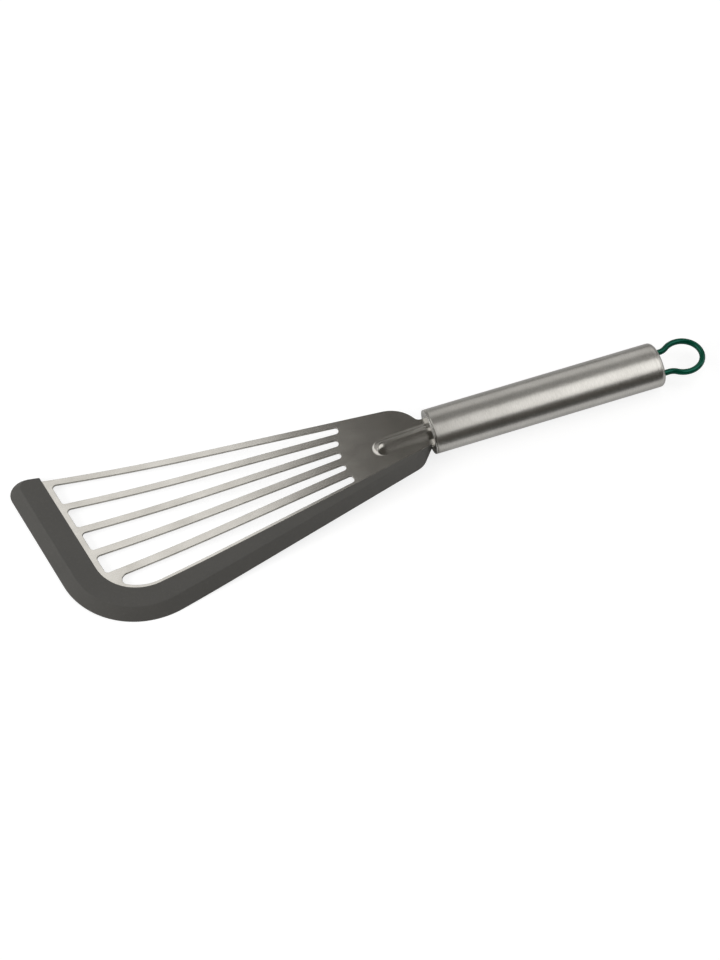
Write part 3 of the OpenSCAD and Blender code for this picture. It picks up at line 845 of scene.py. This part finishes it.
def moulded(name, dark, light, rough, grain, depth, dust, gloss=0.5, tint=(1, 1, 1)):
    """Moulded rubber or plastic with a fine skin, uneven tone and a little settled dust."""
    made, tree, shader, place = blank_material(name)
    link = tree.links.new
    spread_out = node(tree, "ShaderNodeMapping", Scale=(grain, grain, grain))
    link(place, spread_out.inputs["Vector"])
    skin = node(tree, "ShaderNodeTexNoise", Scale=1.0, Detail=3.0, Roughness=0.6)
    link(spread_out.outputs["Vector"], skin.inputs["Vector"])
    tone = node(tree, "ShaderNodeTexNoise", Scale=55.0, Detail=3.0, Roughness=0.5)
    link(place, tone.inputs["Vector"])
    specks = node(tree, "ShaderNodeGroup", node_tree=dust_tree)
    specks.inputs["Fineness"].default_value = DUST_FINENESS
    link(place, specks.inputs["Place"])
    body = mixed(tree, tone.outputs["Fac"], dark, light)
    amount = ranged(tree, specks.outputs["Dust"], 0.0, dust, 0.0, 1.0)
    top = node(tree, "ShaderNodeMix", data_type="RGBA")
    link(amount, top.inputs["Factor"])
    link(body, top.inputs[COLOUR_A])
    top.inputs[COLOUR_B].default_value = DUST_COLOUR
    link(top.outputs[COLOUR_RESULT], shader.inputs["Base Color"])
    link(ranged(tree, skin.outputs["Fac"], *rough), shader.inputs["Roughness"])
    relief = node(tree, "ShaderNodeBump", Strength=1.0, Distance=depth)
    link(skin.outputs["Fac"], relief.inputs["Height"])
    link(relief.outputs["Normal"], shader.inputs["Normal"])
    shader.inputs["Specular IOR Level"].default_value = gloss
    shader.inputs["Specular Tint"].default_value = (*tint, 1)
    return made


sheet_steel = steel(
    "brushed sheet steel",
    stretch=(500, 3200, 3200),
    dark=(0.5, 0.482, 0.445),
    light=(0.61, 0.59, 0.55),
    rough=(0.21, 0.216),
    depth=0.0000002,
    streaky=0.1,
)
handle_steel = steel(
    "satin handle steel",
    stretch=(2600, 500, 500),
    dark=(0.5, 0.485, 0.452),
    light=(0.7, 0.682, 0.644),
    rough=(0.28, 0.36),
    depth=0.00001,
    streaky=0.6,
)
cap_steel = steel(
    "satin cap steel",
    stretch=(2600, 2600, 2600),
    dark=(0.46, 0.45, 0.43),
    light=(0.64, 0.63, 0.6),
    rough=(0.22, 0.34),
    depth=0.0000015,
    streaky=0.3,
)
wire_steel = steel(
    "drawn wire steel",
    stretch=(1500, 6000, 6000),
    dark=(0.5, 0.5, 0.5),
    light=(0.6, 0.6, 0.6),
    rough=(0.3, 0.45),
    depth=0.000003,
    streaky=0.5,
)
silicone = moulded(
    "matt dark silicone",
    dark=(0.075, 0.073, 0.068),
    light=(0.09, 0.087, 0.08),
    rough=(0.45, 0.58),
    grain=2400,
    depth=0.000008,
    dust=0.05,
    gloss=0.4,
)
core_plastic = moulded(
    "moulded core plastic",
    dark=(0.02, 0.02, 0.022),
    light=(0.03, 0.03, 0.032),
    rough=(0.45, 0.6),
    grain=1500,
    depth=0.00002,
    dust=0.03,
)
green_coat = moulded(
    "green loop coating",
    dark=(0.0003, 0.043, 0.021),
    light=(0.0006, 0.06, 0.03),
    rough=(0.12, 0.19),
    grain=1800,
    depth=0.000003,
    dust=0.01,
    gloss=0.65,
    tint=(0.2, 1, 0.75),
)

# ---------------------------------------------------------------- the pieces

sheet, sheet_directions = sheet_mesh()
piece("turner_blade", sheet, "blade", sheet_steel, sheet_directions)
piece("moulded_silicone_edge", moulded_edge_mesh(), "silicone_edge", silicone)
piece("front_cap_shell", front_cap_mesh(), "front_cap", cap_steel)
piece("brushed_handle_tube", tube_mesh(), "handle_tube", handle_steel)
piece("rear_cap_shell", rear_cap_mesh(), "rear_cap", handle_steel)
piece("coated_hanging_loop", coated_loop_mesh(green_coat), "loop_sleeve", green_coat)

hidden_finishes = {"handle_core": core_plastic, "loop_holder": core_plastic, "loop_wire": wire_steel}
for name, finish in hidden_finishes.items():
    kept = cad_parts[name]
    if not kept.material_slots:
        kept.data.materials.append(finish)
    for place in kept.material_slots:
        place.material = finish

# ---------------------------------------------------------------- the studio

# Half the floor's width in metres, and how strongly it glows to the camera
FLOOR_HALF, CAMERA_GLOW, CAMERA_SHARE = 3.0, 1.32, 0.61


def floor_material():
    """Pale paper that the camera sees as white, with the turner's soft shadow kept.

    In mirrored rays it glows too, as a painted reflection: a painted light band near the turner and
    painted shade close in front of the handle, seen only on the floor past the handle's front end.
    """
    made, tree, shader, place = blank_material("white paper")
    link = tree.links.new
    paper = node(tree, "ShaderNodeTexNoise", Scale=400.0, Detail=3.0)
    link(place, paper.inputs["Vector"])
    tone = mixed(tree, paper.outputs["Fac"], (0.8, 0.8, 0.8), (0.82, 0.82, 0.82))
    link(tone, shader.inputs["Base Color"])
    shader.inputs["Roughness"].default_value = 0.9
    shader.inputs["Specular IOR Level"].default_value = 0.1
    glow = tree.nodes.new("ShaderNodeEmission")
    seen = tree.nodes.new("ShaderNodeLightPath")
    apart = tree.nodes.new("ShaderNodeSeparateXYZ")
    link(place, apart.inputs["Vector"])

    def product(a, b):
        both = node(tree, "ShaderNodeMath", operation="MULTIPLY")
        for k, value in enumerate((a, b)):
            if isinstance(value, float):
                both.inputs[k].default_value = value
            else:
                link(value, both.inputs[k])
        return both.outputs["Value"]

    def total(a, b):
        both = node(tree, "ShaderNodeMath", operation="ADD")
        link(a, both.inputs[0])
        link(b, both.inputs[1])
        return both.outputs["Value"]

    # Painted reflection for mirrored rays: a brighter band of glow near the turner, painted shade close
    # in front of the handle, and the glow shown only on the floor past the handle's front end.
    painted_light_band = ranged(tree, apart.outputs["Y"], 0.1, 0.66, -0.052, -0.036)
    painted_shade_by_handle = ranged(tree, apart.outputs["Y"], 1.0, 0.68, -0.018, -0.011)
    painted_reflection_share = ranged(tree, apart.outputs["X"], 0.0, 1.0, 0.026, 0.036)
    camera_ray, mirror_ray = seen.outputs["Is Camera Ray"], seen.outputs["Is Glossy Ray"]
    painted_reflection_glow = product(mirror_ray, product(painted_light_band, painted_shade_by_handle))
    link(total(product(camera_ray, CAMERA_GLOW), painted_reflection_glow), glow.inputs["Strength"])
    share = total(product(camera_ray, CAMERA_SHARE), product(mirror_ray, painted_reflection_share))
    blend = tree.nodes.new("ShaderNodeMixShader")
    link(share, blend.inputs["Fac"])
    link(shader.outputs["BSDF"], blend.inputs[1])
    link(glow.outputs["Emission"], blend.inputs[2])
    out = next(n for n in tree.nodes if n.type == "OUTPUT_MATERIAL")
    link(blend.outputs["Shader"], out.inputs["Surface"])
    return made


def white_paper():
    mesh = bpy.data.meshes.new("paper")
    s = FLOOR_HALF
    mesh.from_pydata([(-s, -s, 0), (s, -s, 0), (s, s, 0), (-s, s, 0)], [], [(0, 1, 2, 3)])
    mesh.materials.append(floor_material())
    obj = bpy.data.objects.new("paper", mesh)
    bpy.context.scene.collection.objects.link(obj)


def soft_box(name, at, towards, width, height, radiance, mirrored=True):
    """Flat soft light of an even brightness, turned from its place towards a point."""
    lamp = bpy.data.lights.new(name, "AREA")
    lamp.shape, lamp.size, lamp.size_y = "RECTANGLE", width, height
    lamp.energy = radiance * math.pi * width * height
    obj = bpy.data.objects.new(name, lamp)
    obj.location = at
    obj.rotation_euler = (Vector(towards) - Vector(at)).to_track_quat("-Z", "Y").to_euler()
    obj.visible_camera = False
    obj.visible_glossy = mirrored
    bpy.context.scene.collection.objects.link(obj)


def surroundings():
    """A dim warm room for the turner, and white where the camera looks past the floor."""
    world = bpy.data.worlds.new("studio")
    world.use_nodes = True
    bpy.context.scene.world = world
    tree = world.node_tree
    tree.nodes.clear()
    link = tree.links.new
    out = tree.nodes.new("ShaderNodeOutputWorld")
    room = node(tree, "ShaderNodeBackground", Color=(0.066, 0.062, 0.055, 1), Strength=1.0)
    white = node(tree, "ShaderNodeBackground", Color=(1, 1, 1, 1), Strength=1.05)
    seen = tree.nodes.new("ShaderNodeLightPath")
    blend = tree.nodes.new("ShaderNodeMixShader")
    link(seen.outputs["Is Camera Ray"], blend.inputs["Fac"])
    link(room.outputs["Background"], blend.inputs[1])
    link(white.outputs["Background"], blend.inputs[2])
    link(blend.outputs["Shader"], out.inputs["Surface"])


white_paper()
surroundings()
soft_box("overhead soft box", (0.485, -0.22, 0.58), (0.485, -0.22, 0), 0.72, 0.63, 1.52)
soft_box("dim overhead box", (0.5, 0.36, 0.58), (0.5, 0.36, 0), 0.72, 0.44, 0.2)
soft_box("soft box over the blade's back", (-0.4, 0.42, 0.57), (-0.4, 0.42, 0), 0.72, 0.62, 1.22)
soft_box("left soft box", (-1.1, 0.1, 0.34), (-0.1, 0, 0), 1.0, 0.46, 1.15)
soft_box("back left soft box", (-0.8, 0.85, 0.28), (0, 0, 0), 0.9, 0.42, 0.45)
soft_box("left fill light", (-1.05, -0.2, 0.42), (-0.1, 0, 0), 0.75, 0.5, 6.5, mirrored=False)
soft_box("back soft box", (0.6, 0.85, 0.52), (0.4, 0, 0.05), 0.95, 0.6, 0.7)
soft_box("low back soft box", (-0.1, 1.0, 0.2), (0, 0, 0), 0.8, 0.36, 0.16)
soft_box("right soft box", (1.2, 0.05, 0.35), (0.15, 0, 0), 0.8, 0.7, 1.0)

camera_data = bpy.data.cameras.new("camera")
camera_data.lens, camera_data.sensor_width, camera_data.sensor_fit = 81.0, 36.0, "AUTO"
camera = bpy.data.objects.new("camera", camera_data)
right, above = (0.95001, -0.30445, -0.06921), (0.28525, 0.75623, 0.58885)
behind = (-0.12693, -0.57916, 0.80527)
turned = Matrix((right, above, behind)).transposed().to_4x4()
camera.matrix_world = Matrix.Translation((-0.1311, -0.5655, 0.77756)) @ turned
camera_data.clip_start, camera_data.clip_end = 0.05, 20.0
bpy.context.scene.collection.objects.link(camera)
bpy.context.scene.camera = camera
bpy.context.scene.view_settings.view_transform = "Standard"
